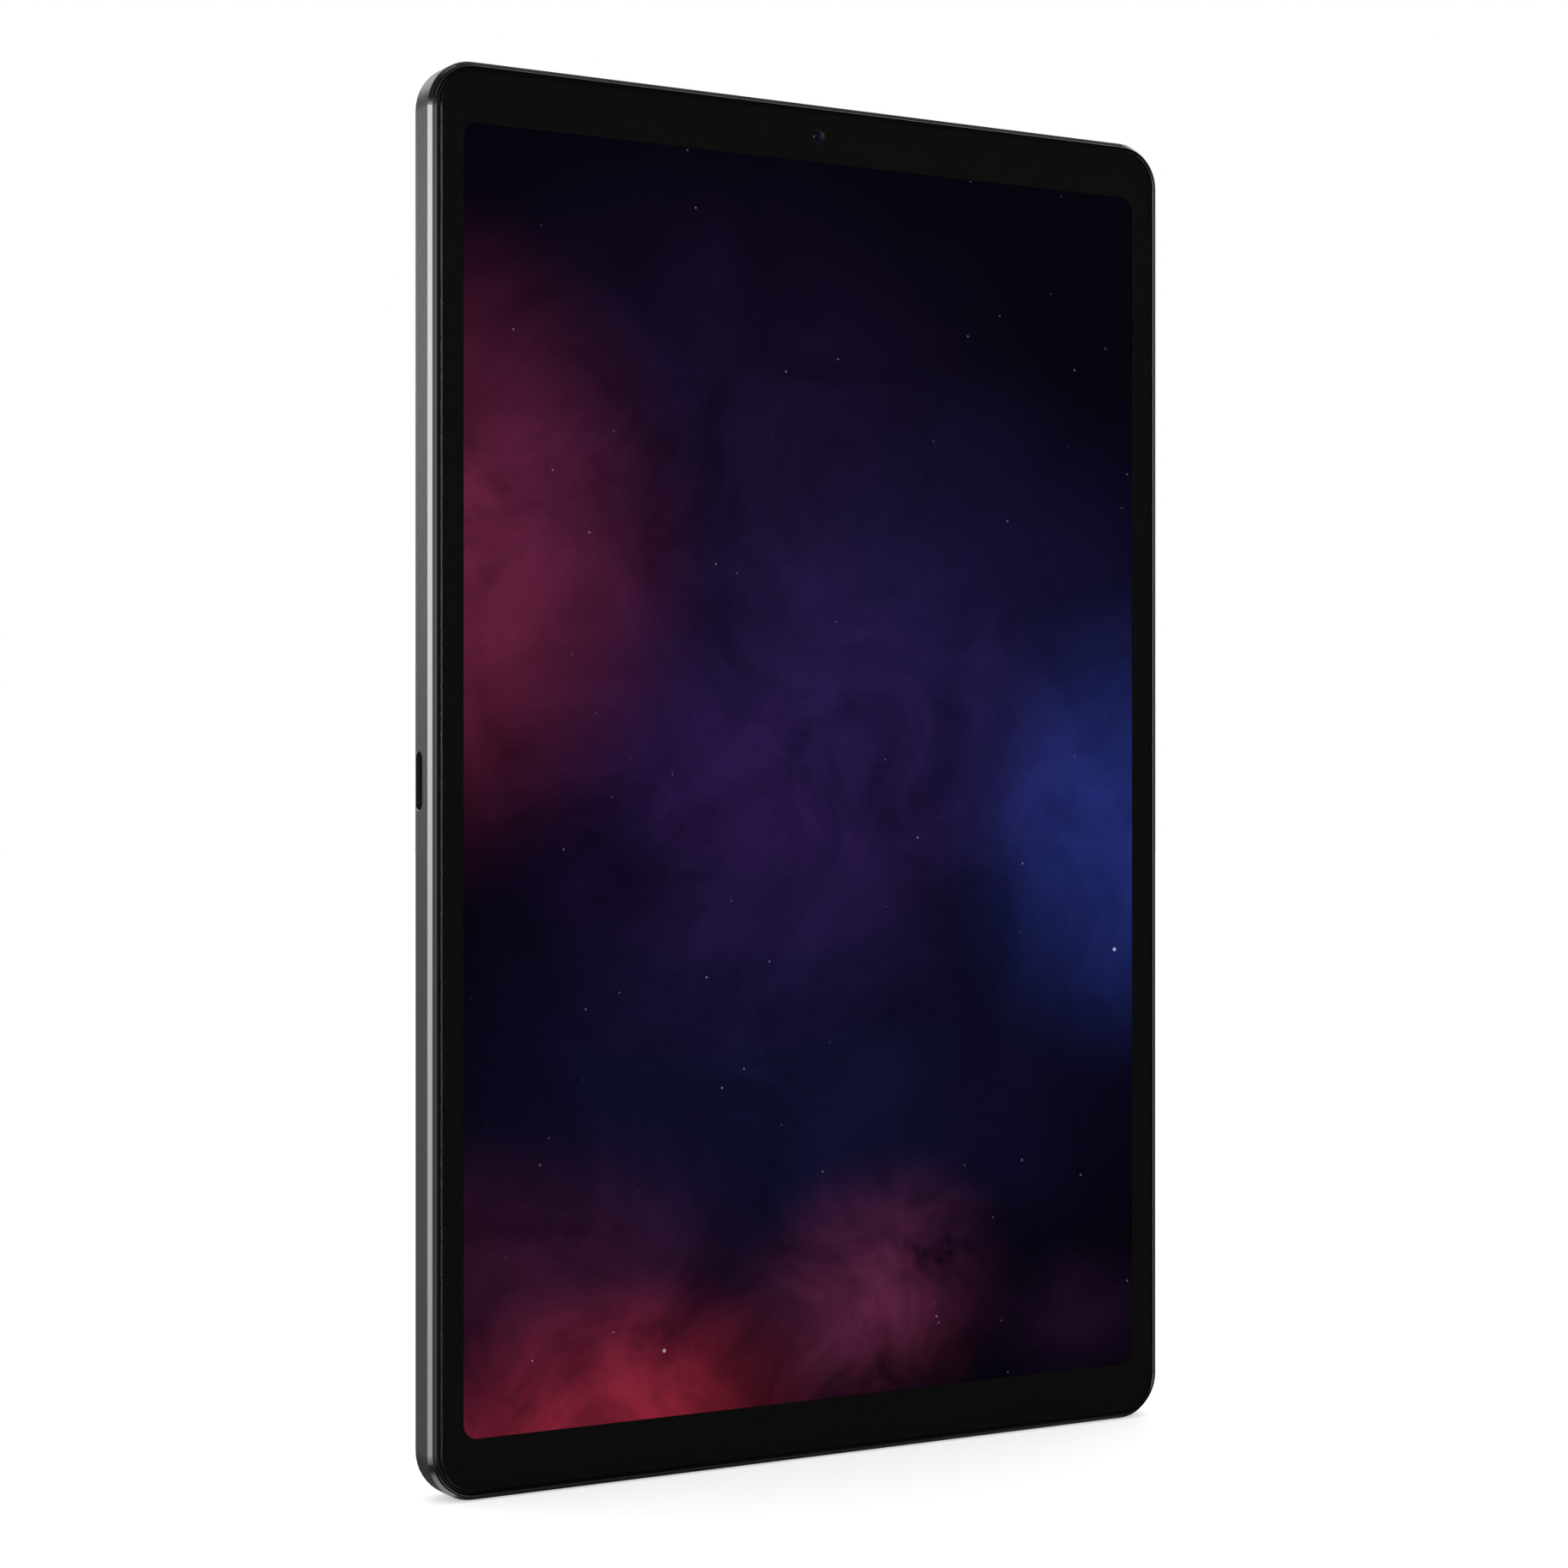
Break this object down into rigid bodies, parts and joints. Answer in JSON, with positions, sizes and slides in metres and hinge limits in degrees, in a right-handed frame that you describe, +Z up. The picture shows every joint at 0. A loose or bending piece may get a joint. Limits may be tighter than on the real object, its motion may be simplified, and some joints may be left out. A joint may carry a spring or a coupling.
{
  "type": "tablet computer",
  "caption": "Slim upright tablet computer with a glass front, a lit colour display, a chamfered metal body, side keys, two charging ports and a raised rear camera island.",
  "frame": {"origin": "middle of the bottom edge, half way through the whole thickness including the camera island", "axes": "+X across the width, to the right for someone facing the screen; +Z up the height; the glass faces -Y and the metal back +Y"},
  "size_m": [0.1299, 0.0094, 0.208],
  "materials": {
    "housing_aluminium": "bead-blasted and anodised dark grey, satin",
    "antenna_plastic": "moulded, matt",
    "cover_glass": "polished",
    "black_ink": "screen-printed black",
    "clear_adhesive": "clear",
    "display_picture": "lit colour picture behind a polariser",
    "chip_epoxy": "moulded epoxy",
    "white_film": "translucent white film",
    "clear_acrylic": "clear moulded acrylic",
    "lamp_strip": "white lamp strip with yellow phosphor",
    "pressed_steel": "bright rolled sheet",
    "amber_flex": "amber polyimide film over copper",
    "black_tape": "black foam tape",
    "gloss_ring": "polished black moulding",
    "cast_alloy": "die-cast, matt",
    "screw_steel": "dark plated",
    "copper_plate": "plain copper",
    "thermal_silicone": "soft grey silicone",
    "battery_pouch": "black film over an aluminium pouch",
    "pull_tape": "white stretch-release tape",
    "circuit_board": "dark solder mask",
    "nickel_silver": "bright tinned sheet",
    "connector_plastic": "moulded connector",
    "port_steel": "drawn steel, satin",
    "port_plastic": "moulded black",
    "speaker_plastic": "moulded black",
    "mesh_steel": "woven, blackened",
    "heavy_slug": "sintered heavy metal",
    "sensor_plastic": "moulded black",
    "camera_plastic": "moulded black",
    "island_aluminium": "bead-blasted and anodised dark grey, satin",
    "lens_ring_metal": "turned and anodised, polished chamfer",
    "lens_window": "coated lens window",
    "flash_diffuser": "ribbed clear diffuser",
    "barrel_plastic": "moulded black barrel",
    "key_aluminium": "bead-blasted and anodised dark grey, satin"
  },
  "bodies": {
    "tablet": {"rear_housing": "housing_aluminium", "antenna_bands": "antenna_plastic", "front_glass": "cover_glass", "border_print": "black_ink", "optical_adhesive": "clear_adhesive", "lcd_cell": "display_picture", "display_driver_chip": "chip_epoxy", "diffuser_films": "white_film", "light_guide": "clear_acrylic", "backlight_led_bar": "lamp_strip", "backlight_tray": "pressed_steel", "display_flex": "amber_flex", "glass_adhesive": "black_tape", "display_ring": "gloss_ring", "frame_adhesive": "black_tape", "midframe": "cast_alloy", "midframe_screws": "screw_steel", "vapour_chamber": "copper_plate", "thermal_pad": "thermal_silicone", "battery_cell_left": "battery_pouch", "battery_cell_right": "battery_pouch", "battery_tape": "pull_tape", "battery_board": "circuit_board", "flash_lamp": "lamp_strip", "main_board": "circuit_board", "shield_cans": "nickel_silver", "processor": "chip_epoxy", "memory_chips": "chip_epoxy", "power_chips": "chip_epoxy", "board_connectors": "connector_plastic", "board_screws": "screw_steel", "lower_board": "circuit_board", "link_flex": "amber_flex", "side_port_shell": "port_steel", "side_port_tongue": "port_plastic", "side_port_board": "circuit_board", "side_port_flex": "amber_flex", "lower_port_shell": "port_steel", "lower_port_tongue": "port_plastic", "upper_speaker": "speaker_plastic", "lower_speaker": "speaker_plastic", "speaker_meshes": "mesh_steel", "microphones": "nickel_silver", "haptic_motor_case": "pressed_steel", "light_sensor": "sensor_plastic", "front_camera": "camera_plastic", "camera_island": "island_aluminium", "main_lens_ring": "lens_ring_metal", "main_lens_glass": "lens_window", "macro_lens_ring": "lens_ring_metal", "macro_lens_glass": "lens_window", "flash_lens": "flash_diffuser", "main_camera_base": "camera_plastic", "macro_camera": "camera_plastic", "key_switches": "pressed_steel", "key_flex": "amber_flex"},
    "power_key": {"power_key": "key_aluminium"},
    "volume_key": {"volume_key": "key_aluminium"},
    "haptic_mass": {"haptic_motor_mass": "heavy_slug"},
    "focus_barrel": {"main_camera_barrel": "barrel_plastic"}
  },
  "joints": [
    {"name": "power_key_press", "type": "slide", "parent": "tablet", "child": "power_key", "axis": [-1, 0, 0], "range_m": [0, 0.00025], "stiffness_N_per_m": 800},
    {"name": "volume_key_rock", "type": "hinge", "parent": "tablet", "child": "volume_key", "pos_m": [0.06235, -0.0004, 0.148], "axis": [0, 1, 0], "range_deg": [-1, 1], "stiffness_Nm_per_rad": 0.2},
    {"name": "haptic_shuttle", "type": "slide", "parent": "tablet", "child": "haptic_mass", "axis": [1, 0, 0], "range_m": [-0.0003, 0.0003], "stiffness_N_per_m": 3000},
    {"name": "focus_slide", "type": "slide", "parent": "tablet", "child": "focus_barrel", "axis": [0, 1, 0], "range_m": [0, 0.00025], "stiffness_N_per_m": 150}
  ]
}
